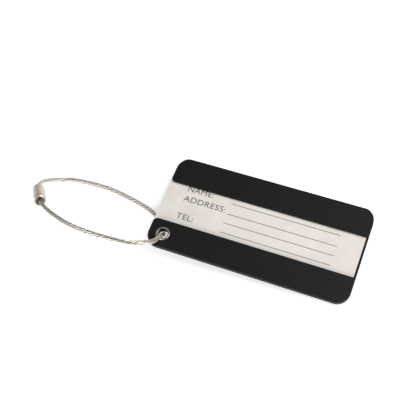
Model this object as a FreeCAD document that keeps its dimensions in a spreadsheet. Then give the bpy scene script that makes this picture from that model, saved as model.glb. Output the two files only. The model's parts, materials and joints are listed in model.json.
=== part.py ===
import FreeCAD, Part
import math
import os
import Sketcher

# Luggage tag: a folded aluminium card holder, an eyelet in one corner, a name
# card and a loop of stainless wire rope closed by a screw connector.
# Millimetres, +Z up.  The tag lies on a table.  The rope passes down through
# the eyelet and under the holder, so it props up the eyelet end: the holder
# rests on its far short edge and is tilted by the sheet's tag_tilt.
# Origin: on the table, below the middle of the holder's front face.
# Every piece of the holder is drawn flat, with its back on Z = 0, and is then
# placed; every piece of the connector is drawn along Z from the ferrule's mouth.

doc = FreeCAD.newDocument("luggage_tag")

# ---------------------------------------------------------------- dimensions
sheet = doc.addObject("Spreadsheet::Sheet", "sizes")
SIZES = [
    # folded holder
    ("holder_length", 80.0),
    ("holder_width", 40.0),
    ("holder_thickness", 2.0),
    ("sheet_gauge", 0.7),
    ("corner_radius", 5.5),
    ("upper_band", 11.7),
    ("lower_band", 11.5),
    ("band_corner_left", 1.9),
    ("band_corner_right", 0.9),
    ("tag_tilt", 4.5),
    # eyelet
    ("eyelet_inset", 5.8),
    ("eyelet_bore", 3.9),
    ("eyelet_wall", 0.3),
    ("eyelet_rim", 5.6),
    ("rim_height", 0.35),
    ("rim_round", 0.24),
    # name card
    ("card_board", 0.45),
    ("card_play", 0.05),
    ("card_side_play", 0.35),
    ("card_shift", 0.3),
    ("card_short", 0.6),
    ("card_corner", 5.5),
    ("notch_play", 0.5),
    # rope and connector
    ("rope_diameter", 1.8),
    ("connector_diameter", 4.8),
    ("ferrule_length", 6.4),
    ("ferrule_shoulder", 1.4),
    ("joint_chamfer", 0.1),
    ("stud_diameter", 3.1),
    ("stud_length", 2.2),
    ("thread_pitch", 0.5),
    ("thread_depth", 0.15),
    ("thread_play", 0.05),
    ("bead_length", 0.9),
    ("bead_play", 0.1),
    ("sleeve_length", 4.87),
    ("sleeve_gap", 0.03),
    ("collar_length", 2.6),
    ("neck_length", 0.3),
    ("neck_depth", 0.35),
    ("mouth_step", 0.25),
    ("mouth_depth", 0.6),
    ("mouth_flare", 0.3),
    ("ring_width", 0.4),
    ("ring_bore", 2.6),
    ("ring_lip", 0.3),
    ("ring_play", 0.05),
    ("ring_from_mouth", 0.9),
]
for row, (alias, value) in enumerate(SIZES, start=1):
    sheet.set("A%d" % row, alias)
    sheet.set("B%d" % row, repr(value))
    sheet.setAlias("B%d" % row, alias)
doc.recompute()
size = {alias: float(sheet.get(alias)) for alias, _ in SIZES}

# The rope's route, from the ferrule's mouth, along the table, up through the
# eyelet and over to the stop bead.  The first two points and the last two lie
# on one line, the connector's axis.
ROPE_ROUTE = [
    (-89.362, -11.855, 13.74),
    (-93.057, -8.03, 10.962),
    (-89.68, -0.64, 1.6),
    (-82.48, 1.2, 0.95),
    (-69.48, 1.52, 1.0),
    (-57.6, -0.2, 0.95),
    (-43.0, -4.0, 1.0),
    (-35.2, -12.0, 2.6),
    (-33.14, -16.4, 11.04),
    (-32.2, -22.9, 18.2),
    (-40.5, -27.7, 24.1),
    (-53.8, -28.1, 25.0),
    (-64.69, -26.97, 24.77),
    (-80.154, -21.385, 20.661),
    (-83.357, -18.07, 18.254),
]
ARC_SHARE = 0.45


# ------------------------------------------------------------------- helpers
def ref(text):
    """The sheet's cell for each word in text that is one of its aliases."""
    for alias in sorted(size, key=len, reverse=True):
        text = text.replace("{%s}" % alias, "<<sizes>>.%s" % alias)
    return text


def new_body(name):
    body = doc.addObject("PartDesign::Body", name)
    body.Label = name
    return body


def new_sketch(body, name, role):
    """An empty sketch on one of the body's own origin planes."""
    sketch = body.newObject("Sketcher::SketchObject", name)
    plane = next(o for o in body.Origin.OriginFeatures if o.Role == role)
    sketch.AttachmentSupport = (plane, "")
    sketch.MapMode = "FlatFace"
    return sketch


def value_of(text):
    """The number that an expression of the sheet's sizes has now."""
    for alias in sorted(size, key=len, reverse=True):
        text = text.replace("{%s}" % alias, "(%r)" % size[alias])
    total = FreeCAD.Units.Quantity(text.replace(" ", ""))
    return float(total.Value)


def bind(sketch, kind, geo, pos, axis_text):
    """Hold one coordinate of a point at an expression of the sheet's sizes."""
    index = sketch.addConstraint(Sketcher.Constraint(kind, -1, 1, geo, pos, value_of(axis_text)))
    sketch.setExpression("Constraints[%d]" % index, ref(axis_text))


def outline(sketch, corners):
    """A closed outline.  corners holds (x, y) for each corner, and
    (x, y, sense, cx, cy) where an arc about (cx, cy), with sense "ccw" or
    "cw", leads on to the next corner; all are expressions of the sheet's
    sizes."""
    count = len(corners)
    here = [FreeCAD.Vector(value_of(c[0]), value_of(c[1]), 0) for c in corners]
    geos = []
    for i, corner in enumerate(corners):
        start = here[i]
        end = here[(i + 1) % count]
        if len(corner) == 2:
            geos.append((sketch.addGeometry(Part.LineSegment(start, end), False), 1, 2))
            continue
        centre = FreeCAD.Vector(value_of(corner[3]), value_of(corner[4]), 0)
        circle = Part.Circle(centre, FreeCAD.Vector(0, 0, 1), (start - centre).Length)
        begin = math.atan2(start.y - centre.y, start.x - centre.x)
        finish = math.atan2(end.y - centre.y, end.x - centre.x)
        if corner[2] == "cw":
            arc = Part.ArcOfCircle(circle, finish, begin)
            geos.append((sketch.addGeometry(arc, False), 2, 1))
        else:
            arc = Part.ArcOfCircle(circle, begin, finish)
            geos.append((sketch.addGeometry(arc, False), 1, 2))
    for i in range(count):
        this, _, tail = geos[i]
        following, head, _ = geos[(i + 1) % count]
        sketch.addConstraint(Sketcher.Constraint("Coincident", this, tail, following, head))
    for i, corner in enumerate(corners):
        geo, head, _ = geos[i]
        bind(sketch, "DistanceX", geo, head, corner[0])
        bind(sketch, "DistanceY", geo, head, corner[1])
        if len(corner) > 2:
            bind(sketch, "DistanceX", geo, 3, corner[3])


def ring_line(sketch, x, y, radius_text):
    """A circle at (x, y), with its radius bound to the sheet."""
    centre = FreeCAD.Vector(value_of(x), value_of(y), 0)
    geo = sketch.addGeometry(Part.Circle(centre, FreeCAD.Vector(0, 0, 1), value_of(radius_text)), False)
    bind(sketch, "DistanceX", geo, 3, x)
    bind(sketch, "DistanceY", geo, 3, y)
    index = sketch.addConstraint(Sketcher.Constraint("Radius", geo, value_of(radius_text)))
    sketch.setExpression("Constraints[%d]" % index, ref(radius_text))


def rounded(body, name, feature, edges, radius_text, chamfer=False):
    """A fillet, or a chamfer, on the named edges of the body's last feature."""
    kind = "PartDesign::Chamfer" if chamfer else "PartDesign::Fillet"
    made = body.newObject(kind, name)
    made.Base = (feature, edges)
    made.setExpression("Size" if chamfer else "Radius", ref(radius_text))
    doc.recompute()
    return made


def find_edges(shape, test):
    return ["Edge%d" % (i + 1) for i, edge in enumerate(shape.Edges) if test(edge)]


def upright_at(x, y, low=None):
    """A test for the upright edges at (x, y), above low where it is given."""
    def test(edge):
        box = edge.BoundBox
        if box.XLength > 1e-6 or box.YLength > 1e-6 or box.ZLength < 1e-6:
            return False
        if low is not None and box.ZMin < low - 1e-6:
            return False
        return abs(box.XMin - x) < 1e-4 and abs(box.YMin - y) < 1e-4
    return test


def circle_at(z, radius):
    """A test for the circular edges of that radius at that height."""
    def test(edge):
        if not isinstance(edge.Curve, Part.Circle):
            return False
        return abs(edge.Curve.Center.z - z) < 1e-4 and abs(edge.Curve.Radius - radius) < 1e-4
    return test


def pocket_all(body, name, sketch, depth_text):
    """A pocket both ways from the sketch; stops if it removes nothing."""
    before = body.Shape.Volume
    cut = body.newObject("PartDesign::Pocket", name)
    cut.Profile = sketch
    cut.Midplane = True
    cut.setExpression("Length", ref(depth_text))
    doc.recompute()
    if body.Shape.Volume > before - 1e-6:
        raise RuntimeError("%s removed nothing" % name)
    return cut


def turned(body, name, sketch):
    """A solid of revolution about the sketch's upright axis."""
    made = body.newObject("PartDesign::Revolution", name)
    made.Profile = sketch
    made.ReferenceAxis = (sketch, ["V_Axis"])
    made.Angle = 360
    doc.recompute()
    return made


# -------------------------------------------------------------------- holder
half_length = "{holder_length}/2"
half_width = "{holder_width}/2"
mid_height = "{holder_thickness}/2"
fold_line = "{holder_width}/2-{holder_thickness}/2"
gap_top = "{holder_thickness}-{sheet_gauge}"
upper_edge = "{holder_width}/2-{upper_band}"
lower_edge = "{lower_band}-{holder_width}/2"
eyelet_x = "{eyelet_inset}-{holder_length}/2"
eyelet_y = "{eyelet_inset}-{holder_width}/2"


def make_holder():
    """One sheet: a back, and a band folded over it along each long side."""
    body = new_body("folded_holder")
    section = new_sketch(body, "fold_section", "YZ_Plane")
    outline(section, [
        ("0-(" + fold_line + ")", "0"),
        (fold_line, "0", "ccw", fold_line, mid_height),
        (fold_line, "{holder_thickness}"),
        (upper_edge, "{holder_thickness}"),
        (upper_edge, gap_top),
        (fold_line, gap_top, "cw", fold_line, mid_height),
        (fold_line, "{sheet_gauge}"),
        ("0-(" + fold_line + ")", "{sheet_gauge}", "cw", "0-(" + fold_line + ")", mid_height),
        ("0-(" + fold_line + ")", gap_top),
        (lower_edge, gap_top),
        (lower_edge, "{holder_thickness}"),
        ("0-(" + fold_line + ")", "{holder_thickness}", "ccw", "0-(" + fold_line + ")", mid_height),
    ])
    pad = body.newObject("PartDesign::Pad", "folded_sheet")
    pad.Profile = section
    pad.Midplane = True
    pad.setExpression("Length", ref("{holder_length}"))
    doc.recompute()

    # The blank's corners are round, so at each one the fold is cut away.
    corners = new_sketch(body, "corner_outline", "XY_Plane")
    for sx, sy in ((1, 1), (-1, 1), (-1, -1), (1, -1)):
        corner_waste(corners, sx, sy)
    pocket_all(body, "round_corners", corners, "4*{holder_thickness}")

    # The bands' inner corners are rounder at the eyelet end.
    low = size["holder_thickness"] - size["sheet_gauge"]
    x = size["holder_length"] / 2
    top = size["holder_width"] / 2 - size["upper_band"]
    bottom = size["lower_band"] - size["holder_width"] / 2
    for name, sx, radius in (("left_band_corners", -1, "{band_corner_left}"),
                             ("right_band_corners", 1, "{band_corner_right}")):
        edges = []
        for y in (top, bottom):
            edges += find_edges(body.Tip.Shape, upright_at(sx * x, y, low))
        if len(edges) != 2:
            raise RuntimeError("%s: found %d edges" % (name, len(edges)))
        rounded(body, name, body.Tip, edges, radius)

    hole = new_sketch(body, "eyelet_hole", "XY_Plane")
    ring_line(hole, eyelet_x, eyelet_y, "{eyelet_bore}/2+{eyelet_wall}")
    pocket_all(body, "eyelet_seat", hole, "4*{holder_thickness}")
    return body


def corner_waste(sketch, sx, sy):
    """The waste outside one rounded corner: two straight sides that run past
    the corner, and the quarter circle between them."""
    def x_at(text):
        return text if sx > 0 else "0-(" + text + ")"

    def y_at(text):
        return text if sy > 0 else "0-(" + text + ")"
    over = "+{corner_radius}"
    points = [
        (half_length + "-{corner_radius}", half_width),
        (half_length + "-{corner_radius}", half_width + over),
        (half_length + over, half_width + over),
        (half_length + over, half_width + "-{corner_radius}"),
        (half_length, half_width + "-{corner_radius}"),
    ]
    here = [FreeCAD.Vector(sx * value_of(a), sy * value_of(b), 0) for a, b in points]
    geos = []
    for start, end in zip(here[:-1], here[1:]):
        geos.append(sketch.addGeometry(Part.LineSegment(start, end), False))
    centre = FreeCAD.Vector(sx * value_of(half_length + "-{corner_radius}"),
                            sy * value_of(half_width + "-{corner_radius}"), 0)
    circle = Part.Circle(centre, FreeCAD.Vector(0, 0, 1), size["corner_radius"])
    first = math.radians({(1, 1): 0, (-1, 1): 90, (-1, -1): 180, (1, -1): 270}[(sx, sy)])
    arc = sketch.addGeometry(Part.ArcOfCircle(circle, first, first + math.pi / 2), False)
    for before, after in zip(geos[:-1], geos[1:]):
        sketch.addConstraint(Sketcher.Constraint("Coincident", before, 2, after, 1))
    swapped = sx * sy < 0
    sketch.addConstraint(Sketcher.Constraint("Coincident", geos[-1], 2, arc, 2 if swapped else 1))
    sketch.addConstraint(Sketcher.Constraint("Coincident", geos[0], 1, arc, 1 if swapped else 2))
    for geo, (a, b) in zip(geos, points):
        bind(sketch, "DistanceX", geo, 1, x_at(a))
        bind(sketch, "DistanceY", geo, 1, y_at(b))
    bind(sketch, "DistanceX", geos[-1], 2, x_at(points[-1][0]))
    bind(sketch, "DistanceY", geos[-1], 2, y_at(points[-1][1]))
    index = sketch.addConstraint(Sketcher.Constraint("Radius", arc, size["corner_radius"]))
    sketch.setExpression("Constraints[%d]" % index, ref("{corner_radius}"))


def make_eyelet():
    """A hollow rivet, closed over the holder at the front and at the back."""
    body = new_body("eyelet")
    section = new_sketch(body, "eyelet_section", "XZ_Plane")
    bore = "{eyelet_bore}/2"
    shank = "{eyelet_bore}/2+{eyelet_wall}"
    rim = "{eyelet_rim}/2"
    outline(section, [
        (bore, "0-{rim_height}"),
        (rim, "0-{rim_height}"),
        (rim, "0"),
        (shank, "0"),
        (shank, "{holder_thickness}"),
        (rim, "{holder_thickness}"),
        (rim, "{holder_thickness}+{rim_height}"),
        (bore, "{holder_thickness}+{rim_height}"),
    ])
    turned(body, "eyelet_turned", section)
    edges = []
    for z in (-size["rim_height"], size["holder_thickness"] + size["rim_height"]):
        for radius in (value_of(bore), value_of(rim)):
            edges += find_edges(body.Tip.Shape, circle_at(z, radius))
    rounded(body, "rolled_rims", body.Tip, edges, "min({rim_round};0.4*(" + rim + "-" + bore + "))")
    return body


def make_card():
    """A card with rounded corners, notched round the eyelet so that it draws
    out to the right."""
    body = new_body("name_card")
    left = "0-{holder_length}/2-{card_shift}"
    right = "{holder_length}/2-{card_shift}-{card_short}"
    edge = fold_line + "-{card_side_play}"
    blank = new_sketch(body, "card_outline", "XY_Plane")
    outline(blank, [(left, "0-(" + edge + ")"), (right, "0-(" + edge + ")"), (right, edge), (left, edge)])
    blank.setExpression("AttachmentOffset.Base.z", ref("{sheet_gauge}+{card_play}"))
    pad = body.newObject("PartDesign::Pad", "card_board_pad")
    pad.Profile = blank
    pad.setExpression("Length", ref("{card_board}"))
    doc.recompute()
    edges = []
    for x in (value_of(left), value_of(right)):
        for y in (value_of(edge), -value_of(edge)):
            edges += find_edges(body.Tip.Shape, upright_at(x, y))
    rounded(body, "card_corners", body.Tip, edges, "{card_corner}")

    notch = "{eyelet_bore}/2+{eyelet_wall}+{notch_play}"
    outside = left + "-{card_shift}"
    slot = new_sketch(body, "notch_outline", "XY_Plane")
    outline(slot, [
        (outside, eyelet_y + "-(" + notch + ")"),
        (eyelet_x, eyelet_y + "-(" + notch + ")", "ccw", eyelet_x, eyelet_y),
        (eyelet_x, eyelet_y + "+" + notch),
        (outside, eyelet_y + "+" + notch),
    ])
    pocket_all(body, "eyelet_notch", slot, "4*{holder_thickness}")
    return body


# ----------------------------------------------------------------- connector
# A rounding is never wider than its wall leaves room for.
sleeve_bore = "{stud_diameter}/2+{thread_play}"
barrel = "{connector_diameter}/2"


def make_ferrule():
    """The ferrule crimped on one end of the rope, with its threaded stud."""
    body = new_body("crimp_ferrule")
    section = new_sketch(body, "ferrule_section", "XZ_Plane")
    crest = "{stud_diameter}/2"
    root = "{stud_diameter}/2-{thread_depth}"
    points = [("0", "0"), (barrel, "0"), (barrel, "{ferrule_length}"), (root, "{ferrule_length}")]
    turns = int(size["stud_length"] / size["thread_pitch"])
    for turn in range(turns):
        for height, radius in ((0.3, root), (0.5, crest), (0.8, crest), (1.0, root)):
            points.append((radius, "{ferrule_length}+{thread_pitch}*%.1f" % (turn + height)))
    points += [(root, "{ferrule_length}+{stud_length}"), ("0", "{ferrule_length}+{stud_length}")]
    outline(section, points)
    turned(body, "ferrule_turned", section)
    radius = value_of(barrel)
    rounded(body, "shoulder", body.Tip, find_edges(body.Tip.Shape, circle_at(0, radius)),
            "{ferrule_shoulder}")
    rounded(body, "ferrule_chamfer", body.Tip,
            find_edges(body.Tip.Shape, circle_at(size["ferrule_length"], radius)),
            "{joint_chamfer}", chamfer=True)
    return body


def make_sleeve():
    """The screw sleeve: its collar threads on to the stud, and past a slim
    neck its wide mouth holds the ring that the stop bead can't pass."""
    body = new_body("screw_sleeve")
    section = new_sketch(body, "sleeve_section", "XZ_Plane")
    groove = sleeve_bore + "+{ring_lip}"
    start = "{ferrule_length}+{sleeve_gap}"
    mouth = start + "+{sleeve_length}"
    ring_high = mouth + "-{ring_from_mouth}+{ring_play}"
    ring_low = mouth + "-{ring_from_mouth}-{ring_width}-{ring_play}"
    neck = barrel + "-{neck_depth}"
    collar_end = start + "+{collar_length}"
    neck_end = collar_end + "+{neck_length}"
    wide_bore = sleeve_bore + "+{mouth_step}"
    outline(section, [
        (sleeve_bore, start),
        (barrel, start),
        (barrel, collar_end),
        (neck, collar_end),
        (neck, neck_end),
        (barrel, neck_end + "+{neck_depth}"),
        (barrel, mouth),
        (wide_bore, mouth),
        (wide_bore, mouth + "-{mouth_depth}"),
        (sleeve_bore, mouth + "-{mouth_depth}"),
        (sleeve_bore, ring_high),
        (groove, ring_high),
        (groove, ring_low),
        (sleeve_bore, ring_low),
    ])
    turned(body, "sleeve_turned", section)
    edges = find_edges(body.Tip.Shape, circle_at(value_of(mouth), value_of(barrel)))
    limit = "0.45*(" + barrel + "-(" + wide_bore + "))"
    rounded(body, "mouth_chamfer", body.Tip, edges, "min({mouth_flare};" + limit + ")", chamfer=True)
    return body


def make_ring():
    """The retaining ring that lies loose in the sleeve's groove."""
    body = new_body("retaining_ring")
    section = new_sketch(body, "ring_section", "XZ_Plane")
    outer = sleeve_bore + "+{ring_lip}-{ring_play}"
    high = "{ferrule_length}+{sleeve_gap}+{sleeve_length}-{ring_from_mouth}"
    low = high + "-{ring_width}"
    outline(section, [("{ring_bore}/2", low), (outer, low), (outer, high), ("{ring_bore}/2", high)])
    turned(body, "ring_turned", section)
    return body


def make_bead():
    """The stop bead crimped on the rope's other end, inside the sleeve."""
    body = new_body("stop_bead")
    section = new_sketch(body, "bead_section", "XZ_Plane")
    radius = sleeve_bore + "-{bead_play}"
    outline(section, [("0", "0-{bead_length}"), (radius, "0-{bead_length}"), (radius, "0"), ("0", "0")])
    turned(body, "bead_turned", section)
    edges = []
    for z in (0, -size["bead_length"]):
        edges += find_edges(body.Tip.Shape, circle_at(z, value_of(radius)))
    rounded(body, "bead_rounds", body.Tip, edges, "{rim_round}")
    return body


# ---------------------------------------------------------------------- rope
def make_rope(route):
    """The rope: straight runs, joined at each point by the largest tangent arc
    that its two runs allow.  Returns the object and its centreline."""
    points = [FreeCAD.Vector(*p) for p in route]
    edges = []
    last = points[0]
    radii = []
    for before, here, after in zip(points[:-2], points[1:-1], points[2:]):
        back = (before - here).normalize()
        on = (after - here).normalize()
        half_turn = (math.pi - back.getAngle(on)) / 2
        step = ARC_SHARE * min((before - here).Length, (after - here).Length)
        radius = step / math.tan(half_turn)
        radii.append(radius)
        start = here + back * step
        end = here + on * step
        inward = (back + on).normalize()
        middle = here + inward * (radius / math.cos(half_turn) - radius)
        edges.append(Part.LineSegment(last, start).toShape())
        edges.append(Part.Arc(start, middle, end).toShape())
        last = end
    edges.append(Part.LineSegment(last, points[-1]).toShape())
    line = Part.Wire(edges)
    first = (points[1] - points[0]).normalize()
    section = Part.Wire(Part.Circle(points[0], first, size["rope_diameter"] / 2).toShape())
    tube = line.makePipeShell([section], True, False)
    made = doc.addObject("Part::Feature", "wire_rope")
    made.Label = "wire_rope"
    made.Shape = tube
    print("rope radii:", ", ".join("%.1f" % r for r in radii))
    share = tube.Volume / (math.pi * size["rope_diameter"] ** 2 / 4 * line.Length)
    print("rope length %.1f mm, volume over section times length %.4f" % (line.Length, share))
    return made


holder = make_holder()
eyelet = make_eyelet()
card = make_card()
ferrule = make_ferrule()
sleeve = make_sleeve()
ring = make_ring()
bead = make_bead()
rope = make_rope(ROPE_ROUTE)

# ----------------------------------------------------------------- placements
# The holder turns about Y until its right-hand edge alone touches the table.
tilt = "{tag_tilt}"
for piece in (holder, eyelet, card):
    piece.Placement.Rotation = FreeCAD.Rotation(FreeCAD.Vector(0, 1, 0), size["tag_tilt"])
    piece.setExpression("Placement.Rotation.Angle", ref(tilt + "*1deg"))
sin_tilt = "sin(" + tilt + "*1deg)"
cos_tilt = "cos(" + tilt + "*1deg)"
for piece in (holder, card):
    piece.setExpression("Placement.Base.x", ref("0-{holder_thickness}*" + sin_tilt))
    piece.setExpression("Placement.Base.z", ref("{holder_length}/2*" + sin_tilt))
eyelet.setExpression("Placement.Base.x",
                     ref("0-{holder_thickness}*" + sin_tilt + "+(" + eyelet_x + ")*" + cos_tilt))
eyelet.setExpression("Placement.Base.y", ref(eyelet_y))
eyelet.setExpression("Placement.Base.z",
                     ref("{holder_length}/2*" + sin_tilt + "-(" + eyelet_x + ")*" + sin_tilt))

# The connector's pieces lie along the rope's first run, carried on backwards.
mouth = FreeCAD.Vector(*ROPE_ROUTE[0])
axis = (mouth - FreeCAD.Vector(*ROPE_ROUTE[1])).normalize()
along = FreeCAD.Rotation(FreeCAD.Vector(0, 0, 1), axis)
for piece in (ferrule, sleeve, ring):
    piece.Placement = FreeCAD.Placement(mouth, along)
bead.Placement = FreeCAD.Placement(FreeCAD.Vector(*ROPE_ROUTE[-1]), along)

doc.recompute()

# -------------------------------------------------------------- check, export
pieces = [holder, eyelet, card, rope, ferrule, bead, ring, sleeve]
for thing in doc.Objects:
    if "Invalid" in thing.State or "Error" in thing.State:
        raise RuntimeError("%s failed: %s" % (thing.Name, thing.State))
for piece in pieces:
    if piece.Shape.isNull() or not piece.Shape.isValid() or len(piece.Shape.Solids) != 1:
        raise RuntimeError("%s has no valid single solid" % piece.Label)
os.makedirs("parts", exist_ok=True)
for piece in pieces:
    piece.Shape.exportStep("parts/%s.step" % piece.Label)
    print("%-16s %9.2f mm3" % (piece.Label, piece.Shape.Volume))
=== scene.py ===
# %% [markdown]
# # A luggage tag on a loop of wire rope
#
# The tag is one strip of thin aluminium, folded over along both long edges,
# so that a paper card slides between its back and its two bands. An eyelet
# closes one corner, and a loop of wire rope goes through the eyelet and is
# held shut by a small screw connector. The metal pieces with a machined
# shape come ready made with the frame, so the work here is the rope, the
# printing on the card, and what every surface is made of.

# %% Load the frame
import json
import math

import bpy
import numpy as np
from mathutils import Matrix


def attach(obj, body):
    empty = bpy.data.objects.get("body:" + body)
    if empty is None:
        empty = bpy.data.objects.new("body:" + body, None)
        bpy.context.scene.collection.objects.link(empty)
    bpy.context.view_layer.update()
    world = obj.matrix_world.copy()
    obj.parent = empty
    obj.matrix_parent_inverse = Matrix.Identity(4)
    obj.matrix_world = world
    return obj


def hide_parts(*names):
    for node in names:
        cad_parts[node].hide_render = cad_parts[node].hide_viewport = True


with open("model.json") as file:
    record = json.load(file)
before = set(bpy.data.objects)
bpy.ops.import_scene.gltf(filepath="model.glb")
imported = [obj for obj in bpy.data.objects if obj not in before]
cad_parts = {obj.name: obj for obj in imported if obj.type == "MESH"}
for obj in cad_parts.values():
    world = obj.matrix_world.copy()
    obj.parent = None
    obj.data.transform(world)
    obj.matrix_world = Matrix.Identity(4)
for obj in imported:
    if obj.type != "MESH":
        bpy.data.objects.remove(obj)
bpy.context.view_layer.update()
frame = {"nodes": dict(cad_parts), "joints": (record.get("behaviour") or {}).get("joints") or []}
nodes = frame["nodes"]
joints = {joint["name"]: joint for joint in frame["joints"]}
MM = 0.001
print("pieces in the frame:", ", ".join(sorted(nodes)))

# %% [markdown]
# ## The camera
#
# A small product is usually shot from well above with a long lens, because
# then its long edges stay nearly parallel. A camera is easiest to think of
# as a point that it looks at, a direction that it looks from, and a
# distance. The roll turns the picture, so that the tag lies a little
# crosswise in it. The three directions are the columns of its matrix.

# %% Place the camera
AIM = np.array([-19.4, -0.9, 12.1]) * MM
DISTANCE = 289.5 * MM
azimuth, elevation, roll = np.radians([41.1, 59.93, -22.41])

camera_back = np.array([
    math.sin(azimuth) * math.cos(elevation),
    -math.cos(azimuth) * math.cos(elevation),
    math.sin(elevation),
])
level = np.array([math.cos(azimuth), math.sin(azimuth), 0.0])
camera_right = math.cos(roll) * level + math.sin(roll) * np.cross(camera_back, level)
camera_up = np.cross(camera_back, camera_right)
camera_place = np.eye(4)
camera_place[:3, :3] = np.column_stack([camera_right, camera_up, camera_back])
camera_place[:3, 3] = AIM + DISTANCE * camera_back

camera_data = bpy.data.cameras.new("camera")
camera_data.sensor_width = 36.0
camera_data.lens = 66.1
camera_data.clip_start = 0.01
camera_data.clip_end = 20.0
camera = bpy.data.objects.new("camera", camera_data)
camera.matrix_world = camera_place.T.tolist()
scene = bpy.context.scene
scene.collection.objects.link(camera)
scene.camera = camera
print("camera at", np.round(camera_place[:3, 3] / MM, 1), "mm")

# %% [markdown]
# ## The line of the rope
#
# Wire rope is springy, so it never has a corner: it leaves the ferrule
# straight, sinks to the table, runs under the tag, comes up through the
# eyelet and goes back over to the connector in one bow. A NURBS spline
# suits that, because its control points pull on the line without the line
# having to touch them. Order 3 keeps it near its points, and with the
# endpoint setting it starts and ends exactly on the first and last point.
# Both settings come after the points, since a spline with two points can't
# take an order of 3.

# %% Draw the line and read points along it
ROPE_ROUTE = np.array([
    (-89.362, -11.855, 13.74),
    (-93.057, -8.03, 10.962),
    (-89.68, -0.64, 1.6),
    (-82.48, 1.2, 0.95),
    (-69.48, 1.52, 1.0),
    (-57.6, -0.2, 0.95),
    (-43.0, -4.0, 1.0),
    (-35.2, -12.0, 2.6),
    (-33.14, -16.4, 11.04),
    (-32.2, -22.9, 18.2),
    (-40.5, -27.7, 24.1),
    (-53.8, -28.1, 25.0),
    (-64.69, -26.97, 24.77),
    (-80.154, -21.385, 20.661),
    (-83.357, -18.07, 18.254),
]) * MM


def points_on_spline(route):
    """Points on the NURBS spline whose control points are route, in order."""
    curve = bpy.data.curves.new("rope_line", "CURVE")
    curve.dimensions = "3D"
    curve.resolution_u = 48
    spline = curve.splines.new("NURBS")
    spline.points.add(len(route) - 1)
    spline.points.foreach_set("co", np.column_stack([route, np.ones(len(route))]).ravel())
    spline.order_u = 3
    spline.use_endpoint_u = True
    line = bpy.data.objects.new("rope_line", curve)
    scene.collection.objects.link(line)
    mesh = bpy.data.meshes.new_from_object(line)
    points = np.empty(len(mesh.vertices) * 3)
    mesh.vertices.foreach_get("co", points)
    bpy.data.objects.remove(line)
    bpy.data.meshes.remove(mesh)
    return points.reshape(-1, 3)


def unit(vectors):
    """The vectors, each divided by its own length."""
    return vectors / np.linalg.norm(vectors, axis=-1, keepdims=True)


spline_points = points_on_spline(ROPE_ROUTE)
steps = np.linalg.norm(np.diff(spline_points, axis=0), axis=1)
travelled = np.concatenate([[0.0], np.cumsum(steps)])
rope_length = travelled[-1]
print("rope length %.1f mm from %d points" % (rope_length / MM, len(spline_points)))

# %% [markdown]
# ## The rope's strands
#
# A 7 x 7 wire rope has a core strand with six strands laid round it, and
# each strand is a wire with six wires round it. A picture of a twist on a
# plain tube gives a smooth outline, and real rope has a bumpy one that
# catches the light on each crown, so the strands are real surfaces here.
# Forty-nine separate wires would mostly be hidden. One closed surface per
# strand, with six bumps round it that turn as they go, shows the same
# thing with a quarter of the faces.
#
# The rope is laid to the left, like the middle stroke of an S, and the
# wires in each strand go the other way, as in most rope, so that the wires
# on top run almost along the rope.

# %% Work out the strand surfaces
ROPE_DIAMETER = 1.8 * MM
ROPE_LAY = 11.0 * MM
WIRE_LAY = 6.5 * MM
STRAND_RADIUS = 0.3 * MM
# A wire lay takes about sixteen rings, enough for its bumps to turn evenly.
RING_STEP = 0.4 * MM


def strand_section(radius):
    """The outline of six wires round a strand, as (x, y) points. The wires
    have a third of the strand's radius, and their centres lie two thirds
    out. Each gives five points, from 100 degrees on one side of its crown
    to 100 degrees on the other."""
    wire = radius / 3
    crown = np.radians(np.arange(6) * 60.0)[:, None]
    turn = np.radians(np.linspace(-100.0, 100.0, 5))[None, :]
    x = 2 * wire * np.cos(crown) + wire * np.cos(crown + turn)
    y = 2 * wire * np.sin(crown) + wire * np.sin(crown + turn)
    return np.column_stack([x.ravel(), y.ravel()])


def strand_surfaces(points, distances):
    """Seven lobed tubes along a line: six round it and one on it.

    At distance s along the line, outer strand k stands off it by (rope
    radius - strand radius) in a direction that turns backwards by one turn
    per rope lay, a sixth of a turn apart from its neighbours. Its section
    turns forwards by one turn per wire lay. Returns the vertices as an
    array (strand, ring, place round it, 3), each strand's centres, the
    rope's own line and the distance along it, ring by ring."""
    rings = int(round(distances[-1] / RING_STEP)) + 1
    s = np.linspace(0.0, distances[-1], rings)
    line = np.column_stack([np.interp(s, distances, points[:, axis]) for axis in range(3)])
    tangent = unit(np.gradient(line, s, axis=0))
    # The loop is nearly flat, and its own normal never lies along the line.
    loop_normal = unit(np.array([0.10, 0.63, 0.77]))
    side = unit(np.cross(loop_normal, tangent))
    rise = np.cross(tangent, side)

    strand = np.arange(7)[:, None]
    stand_off = np.where(strand < 6, ROPE_DIAMETER / 2 - STRAND_RADIUS, 0.0)[..., None]
    phase = (2 * np.pi * (strand / 6 - s / ROPE_LAY))[..., None]
    outward = np.cos(phase) * side + np.sin(phase) * rise
    centre = line + stand_off * outward
    along = unit(np.gradient(centre, s, axis=1))
    first = unit(outward - (outward * along).sum(-1, keepdims=True) * along)
    second = np.cross(along, first)

    section = strand_section(STRAND_RADIUS)
    twist = (2 * np.pi * s / WIRE_LAY)[:, None]
    x = section[:, 0] * np.cos(twist) - section[:, 1] * np.sin(twist)
    y = section[:, 0] * np.sin(twist) + section[:, 1] * np.cos(twist)
    offset = x[..., None] * first[:, :, None] + y[..., None] * second[:, :, None]
    return centre[:, :, None] + offset, centre, line, s


strands, strand_centres, rope_line, rope_s = strand_surfaces(spline_points, travelled)
print("strand grid: %d strands, %d rings, %d points round" % strands.shape[:3])

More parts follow.
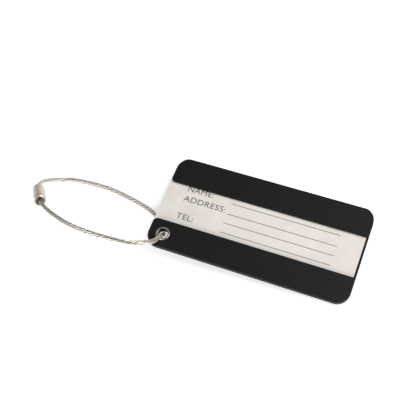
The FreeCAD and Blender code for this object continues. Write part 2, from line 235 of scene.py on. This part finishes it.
# %% [markdown]
# ## From grids to one mesh
#
# A grid becomes a skin by joining each point to its neighbours: the next
# point round, the next ring, and the one between. The corners are listed
# counter-clockwise as seen from outside, which makes the faces point
# outwards. Each end is closed with a fan of triangles round the strand's
# centre. The UV map gives every face its distance along the wire in
# millimetres and its place round the strand, so that a finish can be drawn
# out along the wires, as they were when they were made.

# %% Build the rope's mesh
def tube_mesh(name, surface, centres, distances):
    """A mesh of closed tubes from a grid (tube, ring, place round it, 3)."""
    tubes, rings, sides = surface.shape[:3]
    number = np.arange(tubes * rings * sides).reshape(tubes, rings, sides)
    following = np.roll(number, -1, axis=2)
    quads = np.stack([number[:, :-1], following[:, :-1], following[:, 1:], number[:, 1:]], axis=-1)

    ends = number.size + np.arange(tubes * 2).reshape(tubes, 2, 1)
    first = np.stack([
        np.broadcast_to(ends[:, 0], (tubes, sides)), following[:, 0], number[:, 0]], axis=-1)
    last = np.stack([
        np.broadcast_to(ends[:, 1], (tubes, sides)), number[:, -1], following[:, -1]], axis=-1)
    fans = np.concatenate([first, last], axis=1)

    mesh = bpy.data.meshes.new(name)
    places = np.concatenate([surface.reshape(-1, 3), centres[:, [0, -1]].reshape(-1, 3)])
    faces = quads.reshape(-1, 4).tolist() + fans.reshape(-1, 3).tolist()
    mesh.from_pydata(places, [], faces)

    near = np.broadcast_to((distances[:-1] / MM)[None, :, None], (tubes, rings - 1, sides))
    far = np.broadcast_to((distances[1:] / MM)[None, :, None], (tubes, rings - 1, sides))
    low = np.arange(tubes)[:, None, None] + np.broadcast_to(
        np.arange(sides) / sides, (tubes, rings - 1, sides))
    high = low + 1 / sides
    corners = np.stack([near, low, near, high, far, high, far, low], axis=-1)
    layer = mesh.uv_layers.new(name="along_wire")
    flat = np.concatenate([corners.ravel(), np.zeros(fans.size * 2)])
    layer.uv.foreach_set("vector", flat.astype(np.float32))
    mesh.polygons.foreach_set("use_smooth", np.ones(len(mesh.polygons), dtype=bool))
    return mesh


rope_mesh = tube_mesh("wire_rope_strands", strands, strand_centres, rope_s)

# The wire's finish uses this to paint shade into the gaps between strands.
# How far each point is from the rope's middle: 0 in a gap, 1 on a crown. The
# two points that close each strand's ends come last and count as gaps.
GAP_REACH = 0.55 * MM
CROWN_REACH = 0.82 * MM
reach = np.linalg.norm(strands - rope_line[None, :, None], axis=-1).ravel()
crown = np.clip((reach - GAP_REACH) / (CROWN_REACH - GAP_REACH), 0.0, 1.0)
crown = np.concatenate([crown, np.zeros(2 * len(strands))])
crown_layer = rope_mesh.attributes.new("crown", "FLOAT", "POINT")
crown_layer.data.foreach_set("value", crown.astype(np.float32))

rope = bpy.data.objects.new("wire_rope_strands", rope_mesh)
scene.collection.objects.link(rope)
print("rope: %d faces, out to %.2f mm from its middle" % (len(rope_mesh.polygons), reach.max() / MM))

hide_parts("wire_rope")
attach(rope, "loop")

# %% [markdown]
# ## Helpers for the finishes
#
# A finish is a small tree of nodes that ends in the Principled shader. Hex
# colours are what a screen shows, and the renderer adds light in linear
# values, so one function turns the first into the second. Another adds a
# node, sets it up and links it, and everything below is built with it.

# %% Colour and node helpers
def linear(hex_colour):
    """A hex colour as linear red, green, blue and alpha."""
    shown = np.array([int(hex_colour[i:i + 2], 16) for i in (1, 3, 5)]) / 255
    light = np.where(shown <= 0.04045, shown / 12.92, ((shown + 0.055) / 1.055) ** 2.4)
    return (*light.tolist(), 1.0)


def add(tree, kind, inputs=None, **settings):
    """A node of that kind with its settings, and its inputs set or linked."""
    node = tree.nodes.new(kind)
    for name, value in settings.items():
        setattr(node, name, value)
    for name, value in (inputs or {}).items():
        if isinstance(value, bpy.types.NodeSocket):
            tree.links.new(value, node.inputs[name])
        else:
            node.inputs[name].default_value = value
    return node


def new_finish(name):
    """An empty finish: the material, its tree and its Principled shader."""
    finish = bpy.data.materials.new(name)
    finish.use_nodes = True
    return finish, finish.node_tree, finish.node_tree.nodes["Principled BSDF"]


print("#808080 is", round(linear("#808080")[0], 3), "in linear light")

# %% [markdown]
# ## Black anodised aluminium
#
# The sheet is rolled, blasted with fine grit, folded and then anodised:
# the oxide layer soaks up black dye. What it gives the eye is a black that
# is never quite black, with a broad soft shine where it bends. Grit of
# about 0.1 mm leaves pits too fine to see one by one, so they are drawn at
# 0.3 mm and very shallow. The rolling shows as faint streaks along the
# sheet, and handling leaves cloudy patches a centimetre or two across.

# %% Make the anodised finish
anodised, tree, shader = new_finish("black_anodised_blasted_aluminium")
place = add(tree, "ShaderNodeTexCoord").outputs["Object"]
streak_place = add(tree, "ShaderNodeMapping", {"Vector": place, "Scale": (60.0, 1800.0, 1800.0)})
streaks = add(tree, "ShaderNodeTexNoise", {
    "Vector": streak_place.outputs["Vector"], "Scale": 1.0, "Detail": 3.0})
patches = add(tree, "ShaderNodeTexNoise", {"Vector": place, "Scale": 70.0, "Detail": 2.0})
grit = add(tree, "ShaderNodeTexNoise", {"Vector": place, "Scale": 3300.0, "Detail": 2.0})
dye = add(tree, "ShaderNodeMix", {
    0: patches.outputs["Fac"], 6: linear("#111110"), 7: linear("#171716")}, data_type="RGBA")
shine = add(tree, "ShaderNodeMapRange", {
    "Value": streaks.outputs["Fac"], "From Min": 0.3, "From Max": 0.7, "To Min": 0.36, "To Max": 0.46})
pits = add(tree, "ShaderNodeBump", {
    "Height": grit.outputs["Fac"], "Strength": 0.25, "Distance": 0.01 * MM})
tree.links.new(dye.outputs[2], shader.inputs["Base Color"])
tree.links.new(shine.outputs["Result"], shader.inputs["Roughness"])
tree.links.new(pits.outputs["Normal"], shader.inputs["Normal"])
shader.inputs["IOR"].default_value = 1.5
shader.inputs["Specular IOR Level"].default_value = 0.3
nodes["folded_holder"].material_slots[0].material = anodised
print("anodised finish:", len(tree.nodes), "nodes")

# %% [markdown]
# ## Uncoated card
#
# The card is uncoated board, off-white and a little warm. Its surface is
# a felt of fibres, so it has no shine at all, only a faint mottle about
# half a millimetre across and a soft cloudiness from how the pulp settled.

# %% Make the card's finish
board, tree, shader = new_finish("uncoated_paper_board")
place = add(tree, "ShaderNodeTexCoord").outputs["Object"]
fibres = add(tree, "ShaderNodeTexNoise", {
    "Vector": place, "Scale": 2200.0, "Detail": 5.0, "Roughness": 0.6, "Distortion": 0.8})
clouds = add(tree, "ShaderNodeTexNoise", {"Vector": place, "Scale": 160.0, "Detail": 3.0})
mottle = add(tree, "ShaderNodeMath", {
    0: fibres.outputs["Fac"], 1: clouds.outputs["Fac"]}, operation="MULTIPLY")
spread = add(tree, "ShaderNodeMapRange", {
    "Value": mottle.outputs["Value"], "From Min": 0.12, "From Max": 0.4})
pulp = add(tree, "ShaderNodeMix", {
    0: spread.outputs["Result"], 6: linear("#e3dcd5"), 7: linear("#ece6e0")}, data_type="RGBA")
felt = add(tree, "ShaderNodeBump", {
    "Height": fibres.outputs["Fac"], "Strength": 0.35, "Distance": 0.02 * MM})
tree.links.new(pulp.outputs[2], shader.inputs["Base Color"])
tree.links.new(felt.outputs["Normal"], shader.inputs["Normal"])
shader.inputs["Roughness"].default_value = 0.95
shader.inputs["Specular IOR Level"].default_value = 0.2
nodes["name_card"].material_slots[0].material = board
print("card finish:", len(tree.nodes), "nodes")

# %% [markdown]
# ## The printing on the card
#
# A blank form is printed on the card: three labels and four ruled lines to
# write on. Ink has a thickness, if only just, and it moves with the card,
# so each label is a thin slab of its own on the card's face. Text starts as
# a flat curve. It is turned into a mesh first and only then stretched to
# its width and laid on the card, because a finished piece keeps its place
# in its mesh.

# %% Find the card's face
holder_along = np.array(joints["card_slide"]["axis"])
holder_out = np.array(joints["loop_swing"]["axis"])
holder_across = np.cross(holder_out, holder_along)
eyelet_centre = np.array(joints["loop_swing"]["pos_m"])
# In millimetres: the eyelet's place from the holder's middle, the card's
# face above the middle of the holder's thickness, and the film of ink.
EYELET_ON_HOLDER = (-34.2, -14.2)
CARD_FACE_ABOVE_EYELET_MIDDLE = 0.2
INK_THICKNESS = 0.02


def on_card(x, y, lift):
    """Points in the frame, in metres, from millimetres along the holder,
    across it and above the card's face."""
    return (
        eyelet_centre
        + (x - EYELET_ON_HOLDER[0])[..., None] * MM * holder_along
        + (y - EYELET_ON_HOLDER[1])[..., None] * MM * holder_across
        + (lift + CARD_FACE_ABOVE_EYELET_MIDDLE)[..., None] * MM * holder_out
    )


print("card's middle at", np.round(on_card(np.zeros(1), np.zeros(1), np.zeros(1))[0] / MM, 2), "mm")

# %% [markdown]
# ## Printing ink
#
# Offset ink lies on the board as a thin dull film. It is grey rather than
# black, and it breaks up a little over the fibres, in specks of 0.2 mm.

# %% Make the ink
ink, tree, shader = new_finish("grey_offset_printing_ink")
place = add(tree, "ShaderNodeTexCoord").outputs["Object"]
speckle = add(tree, "ShaderNodeTexNoise", {"Vector": place, "Scale": 5000.0, "Detail": 2.0})
film = add(tree, "ShaderNodeMix", {
    0: speckle.outputs["Fac"], 6: linear("#3a3835"), 7: linear("#504e4b")}, data_type="RGBA")
tree.links.new(film.outputs[2], shader.inputs["Base Color"])
shader.inputs["Roughness"].default_value = 0.7


def print_on_card(name, mesh):
    """A printed piece from its mesh: ink, riding on the card."""
    mesh.materials.clear()
    mesh.materials.append(ink)
    piece = bpy.data.objects.new(name, mesh)
    scene.collection.objects.link(piece)
    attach(piece, "card")


# %% Print the labels
# Text is extruded both ways from its plane, here to a slab one unit thick.
HALF_EXTRUDE = 0.5


def label_mesh(name, words, left, right, baseline, height):
    """The words as a thin slab, stretched from left to right, with its
    capitals height tall on the baseline. All are in millimetres."""
    curve = bpy.data.curves.new(name, "FONT")
    curve.body = words
    curve.extrude = HALF_EXTRUDE
    curve.space_character = 1.08
    flat_text = bpy.data.objects.new(name, curve)
    scene.collection.objects.link(flat_text)
    bpy.context.view_layer.update()
    mesh = bpy.data.meshes.new_from_object(
        flat_text.evaluated_get(bpy.context.evaluated_depsgraph_get()))
    bpy.data.objects.remove(flat_text)
    drawn = np.empty(len(mesh.vertices) * 3)
    mesh.vertices.foreach_get("co", drawn)
    drawn = drawn.reshape(-1, 3)
    across = (drawn[:, 0] - drawn[:, 0].min()) / np.ptp(drawn[:, 0])
    placed = on_card(
        left + across * (right - left),
        baseline + drawn[:, 1] / drawn[:, 1].max() * height,
        (drawn[:, 2] + HALF_EXTRUDE) * INK_THICKNESS,
    )
    mesh.vertices.foreach_set("co", placed.ravel())
    mesh.update()
    return mesh


CAPITAL_HEIGHT = 2.35
# Each label's piece, its words, its left and right ends and its baseline.
LABELS = [
    ("label_name", "NAME:", -32.1, -21.4, 6.28),
    ("label_address", "ADDRESS:", -32.3, -14.9, 1.83),
    ("label_telephone", "TEL:", -32.3, -25.4, -5.94),
]
for name, words, left, right, baseline in LABELS:
    print_on_card(name, label_mesh(name, words, left, right, baseline, CAPITAL_HEIGHT))
print("labels:", ", ".join(words for _, words, *_ in LABELS))


# %% Print the ruled lines
def rule_mesh(name, left, right, heights, width):
    """Thin slabs from left to right, one at each height. A slab is the unit
    box's eight corners, scaled."""
    corner = np.array([(x, y, z) for x in (0, 1) for y in (0, 1) for z in (0, 1)], dtype=float)
    x = left + corner[:, 0] * (right - left)
    y = np.array(heights)[:, None] + (corner[:, 1] - 0.5) * width
    x = np.broadcast_to(x, y.shape)
    lift = np.broadcast_to(corner[:, 2] * INK_THICKNESS, y.shape)
    side = np.array([
        (0, 1, 3, 2), (4, 6, 7, 5), (0, 4, 5, 1), (2, 3, 7, 6), (0, 2, 6, 4), (1, 5, 7, 3)])
    faces = (side[None] + 8 * np.arange(len(heights))[:, None, None]).reshape(-1, 4)
    mesh = bpy.data.meshes.new(name)
    mesh.from_pydata(on_card(x, y, lift).reshape(-1, 3), [], faces.tolist())
    return mesh


RULE_LEFT, RULE_RIGHT = -13.8, 29.9
RULE_HEIGHTS = [6.23, 1.63, -2.33, -6.37]
RULE_WIDTH = 0.22
print_on_card("ruled_lines", rule_mesh("ruled_lines", RULE_LEFT, RULE_RIGHT, RULE_HEIGHTS, RULE_WIDTH))
print("ruled lines at", RULE_HEIGHTS, "mm across the holder")

# %% [markdown]
# ## Drawn stainless wire
#
# Each wire was pulled through a die, which leaves it bright, with very
# fine scratches along it. They are drawn 1 mm long and a few to a wire.
# Between the strands there is some drawing grease and grey dust, which the
# crowns lose to wear, so the gaps are duller than the crowns. Their colour
# is also painted much darker, as shade deep between the strands.

# %% Make the wire's finish
wire, tree, shader = new_finish("drawn_stainless_steel_wire")
along_wire = add(tree, "ShaderNodeUVMap", uv_map="along_wire").outputs["UV"]
scratch_place = add(tree, "ShaderNodeMapping", {"Vector": along_wire, "Scale": (1.0, 40.0, 1.0)})
scratches = add(tree, "ShaderNodeTexNoise", {
    "Vector": scratch_place.outputs["Vector"], "Scale": 1.0, "Detail": 3.0}, noise_dimensions="2D")
crowns = add(tree, "ShaderNodeAttribute", attribute_name="crown")
# Painted shade: the gaps between strands are coloured far darker than the crowns, standing in for the
# shadow there, with a little real dust.
dust_and_painted_gap_shade = add(tree, "ShaderNodeMix", {
    0: crowns.outputs["Fac"], 6: linear("#38342f"), 7: linear("#f0e9df")}, data_type="RGBA")
scored = add(tree, "ShaderNodeMapRange", {
    "Value": scratches.outputs["Fac"], "From Min": 0.3, "From Max": 0.7, "To Min": 0.82, "To Max": 1.0})
steel = add(tree, "ShaderNodeMix", {
    0: 1.0, 6: dust_and_painted_gap_shade.outputs[2], 7: scored.outputs["Result"]}, data_type="RGBA", blend_type="MULTIPLY")
dull = add(tree, "ShaderNodeMapRange", {
    "Value": crowns.outputs["Fac"], "To Min": 0.6, "To Max": 0.3})
tree.links.new(steel.outputs[2], shader.inputs["Base Color"])
tree.links.new(dull.outputs["Result"], shader.inputs["Roughness"])
shader.inputs["Metallic"].default_value = 1.0
rope_mesh.materials.append(wire)
print("wire finish:", len(tree.nodes), "nodes")

# %% [markdown]
# ## Satin nickel on turned brass
#
# The ferrule and the sleeve are turned from brass rod and plated with
# nickel. A cutting tool leaves fine rings round the work, and a satin
# plate softens them, so a highlight is wide along the axis and has a
# slight grain. The rings are 0.15 mm apart. A Mapping node turns the
# coordinates, so that the pattern's Z lies along the connector, and the
# noise reads only Z.

# %% Make the plated finish
connector_axis = unit(np.array(joints["sleeve_spin"]["axis"]))
connector_tilt = math.acos(connector_axis[2])
connector_heading = math.atan2(connector_axis[1], connector_axis[0])


def plated(name, shadow, light, dullest, brightest, depth):
    """Nickel plate over a turned surface, from its darker and its lighter
    colour, its two limits of roughness and how deep the turning marks are."""
    finish, tree, shader = new_finish(name)
    place = add(tree, "ShaderNodeTexCoord").outputs["Object"]
    turned_place = add(tree, "ShaderNodeMapping", {
        "Vector": place,
        "Location": tuple(ROPE_ROUTE[0]),
        "Rotation": (0.0, connector_tilt, connector_heading),
    }, vector_type="TEXTURE")
    axes = add(tree, "ShaderNodeSeparateXYZ", {"Vector": turned_place.outputs["Vector"]})
    rings = add(tree, "ShaderNodeTexNoise", {
        "W": axes.outputs["Z"], "Scale": 6500.0, "Detail": 2.0}, noise_dimensions="1D")
    handled = add(tree, "ShaderNodeTexNoise", {"Vector": place, "Scale": 700.0, "Detail": 3.0})
    colour = add(tree, "ShaderNodeMix", {
        0: handled.outputs["Fac"], 6: linear(shadow), 7: linear(light)}, data_type="RGBA")
    worn = add(tree, "ShaderNodeMapRange", {
        "Value": handled.outputs["Fac"], "From Min": 0.3, "From Max": 0.7,
        "To Min": brightest, "To Max": dullest})
    marks = add(tree, "ShaderNodeBump", {
        "Height": rings.outputs["Fac"], "Strength": 0.3, "Distance": depth})
    tree.links.new(colour.outputs[2], shader.inputs["Base Color"])
    tree.links.new(worn.outputs["Result"], shader.inputs["Roughness"])
    tree.links.new(marks.outputs["Normal"], shader.inputs["Normal"])
    shader.inputs["Metallic"].default_value = 1.0
    return finish


satin_nickel = plated("satin_nickel_on_turned_brass", "#c9c1b7", "#d8d0c6", 0.5, 0.4, 0.01 * MM)
for name in ("crimp_ferrule", "screw_sleeve", "stop_bead"):
    nodes[name].material_slots[0].material = satin_nickel
print("connector tilted %.1f degrees from upright" % math.degrees(connector_tilt))

# %% [markdown]
# ## The retaining ring
#
# The ring that holds the sleeve on is stamped from phosphor bronze strip,
# which is springy and isn't plated, so a little reddish brown shows deep
# in the sleeve's mouth.

# %% Make the bronze finish
bronze = plated("stamped_phosphor_bronze", "#7d5238", "#9a6a48", 0.42, 0.3, 0.01 * MM)
nodes["retaining_ring"].material_slots[0].material = bronze
print("ring finish:", bronze.name)

# %% [markdown]
# ## The eyelet
#
# An eyelet is drawn from thin brass, nickel plated in a barrel with many
# others, and rolled over with a punch. It is shinier than the connector,
# with tiny knocks from the barrel, which are drawn half a millimetre wide.
# The metal is painted dark up to its bore, as shade down inside it, and
# bright from the rim's crown outwards. A Mapping node sets the coordinates
# upright on the eyelet, and the distance from its axis tells the two apart.

# %% Make the eyelet's finish
EYELET_BORE_RADIUS = 1.95 * MM
barrel_nickel, tree, shader = new_finish("barrel_plated_nickel_eyelet")
place = add(tree, "ShaderNodeTexCoord").outputs["Object"]
knocks = add(tree, "ShaderNodeTexVoronoi", {"Vector": place, "Scale": 2000.0}, feature="SMOOTH_F1")
haze = add(tree, "ShaderNodeTexNoise", {"Vector": place, "Scale": 900.0, "Detail": 3.0})
plate_colour = add(tree, "ShaderNodeMix", {
    0: haze.outputs["Fac"], 6: linear("#bdb9b3"), 7: linear("#d5d1ca")}, data_type="RGBA")
gloss = add(tree, "ShaderNodeMapRange", {
    "Value": haze.outputs["Fac"], "From Min": 0.3, "From Max": 0.7, "To Min": 0.2, "To Max": 0.32})
upright = add(tree, "ShaderNodeMapping", {
    "Vector": place,
    "Location": tuple(eyelet_centre),
    "Rotation": (0.0, math.asin(holder_out[0]), 0.0),
}, vector_type="TEXTURE")
across = add(tree, "ShaderNodeVectorMath", {
    0: upright.outputs["Vector"], 1: (1.0, 1.0, 0.0)}, operation="MULTIPLY")
from_axis = add(tree, "ShaderNodeVectorMath", {0: across.outputs["Vector"]}, operation="LENGTH")
# Painted shade: the metal goes dark inside the bore and stays bright from the rim outwards.
painted_bore_shade = add(tree, "ShaderNodeMapRange", {
    "Value": from_axis.outputs["Value"],
    "From Min": EYELET_BORE_RADIUS + 0.05 * MM,
    "From Max": EYELET_BORE_RADIUS + 0.2 * MM})
eyelet_colour = add(tree, "ShaderNodeMix", {
    0: painted_bore_shade.outputs["Result"], 6: linear("#2c2a28"), 7: plate_colour.outputs[2]}, data_type="RGBA")
dents = add(tree, "ShaderNodeBump", {
    "Height": knocks.outputs["Distance"], "Strength": 0.15, "Distance": 0.01 * MM})
tree.links.new(eyelet_colour.outputs[2], shader.inputs["Base Color"])
tree.links.new(gloss.outputs["Result"], shader.inputs["Roughness"])
tree.links.new(dents.outputs["Normal"], shader.inputs["Normal"])
shader.inputs["Metallic"].default_value = 1.0
nodes["eyelet"].material_slots[0].material = barrel_nickel
print("eyelet finish:", len(tree.nodes), "nodes")

# %% [markdown]
# ## Floor and light
#
# The tag lies on a light table: opal acrylic lit from below, which leaves
# next to no shadow and makes a thin bright line along the near fold. Black
# metal shows what it reflects, so the part of the room that its flat bands
# mirror is left dim, and the rest of the light comes from two broad panels,
# one high at the right and one low at the front left. Standard colour keeps
# white white.

# %% Lay the floor
floor_mesh = bpy.data.meshes.new("floor")
FLOOR_WIDTH = 6.0
corner = np.array([(-1, -1, 0), (1, -1, 0), (1, 1, 0), (-1, 1, 0)]) * FLOOR_WIDTH / 2
floor_mesh.from_pydata(corner, [], [(0, 1, 2, 3)])
floor = bpy.data.objects.new("floor", floor_mesh)
scene.collection.objects.link(floor)
acrylic, tree, shader = new_finish("opal_acrylic_light_table")
place = add(tree, "ShaderNodeTexCoord").outputs["Object"]
tooth = add(tree, "ShaderNodeTexNoise", {"Vector": place, "Scale": 400.0})
white = add(tree, "ShaderNodeMix", {
    0: tooth.outputs["Fac"], 6: linear("#f8f8f8"), 7: linear("#fbfbfb")}, data_type="RGBA")
tree.links.new(white.outputs[2], shader.inputs["Base Color"])
shader.inputs["Roughness"].default_value = 0.9
shader.inputs["Specular IOR Level"].default_value = 0.0
shader.inputs["Emission Color"].default_value = linear("#ffffff")
shader.inputs["Emission Strength"].default_value = 0.5
floor_mesh.materials.append(acrylic)
print("floor: %.0f m square at height 0" % FLOOR_WIDTH)


# %% Set the lights
def light_panel(name, azimuth, elevation, distance, width, watts):
    """A square panel that faces the tag from that direction, in degrees."""
    a, e = math.radians(azimuth), math.radians(elevation)
    back = np.array([math.sin(a) * math.cos(e), -math.cos(a) * math.cos(e), math.sin(e)])
    right = np.array([math.cos(a), math.sin(a), 0.0])
    place = np.eye(4)
    place[:3, :3] = np.column_stack([right, np.cross(back, right), back])
    place[:3, 3] = AIM + distance * back
    data = bpy.data.lights.new(name, "AREA")
    data.shape = "SQUARE"
    data.size = width
    data.energy = watts
    panel = bpy.data.objects.new(name, data)
    panel.matrix_world = place.T.tolist()
    scene.collection.objects.link(panel)
    print("%s: %.1f W at %.1f m" % (name, watts, distance))


light_panel("right_panel", 110.0, 45.0, 0.75, 0.5, 4.6)
light_panel("front_panel", -20.0, 24.0, 0.8, 0.5, 3.6)
world = bpy.data.worlds.new("studio")
world.use_nodes = True
scene.world = world
sky = world.node_tree.nodes["Background"]
sky.inputs["Color"].default_value = (1.0, 1.0, 1.0, 1.0)
sky.inputs["Strength"].default_value = 0.24
scene.view_settings.view_transform = "Standard"
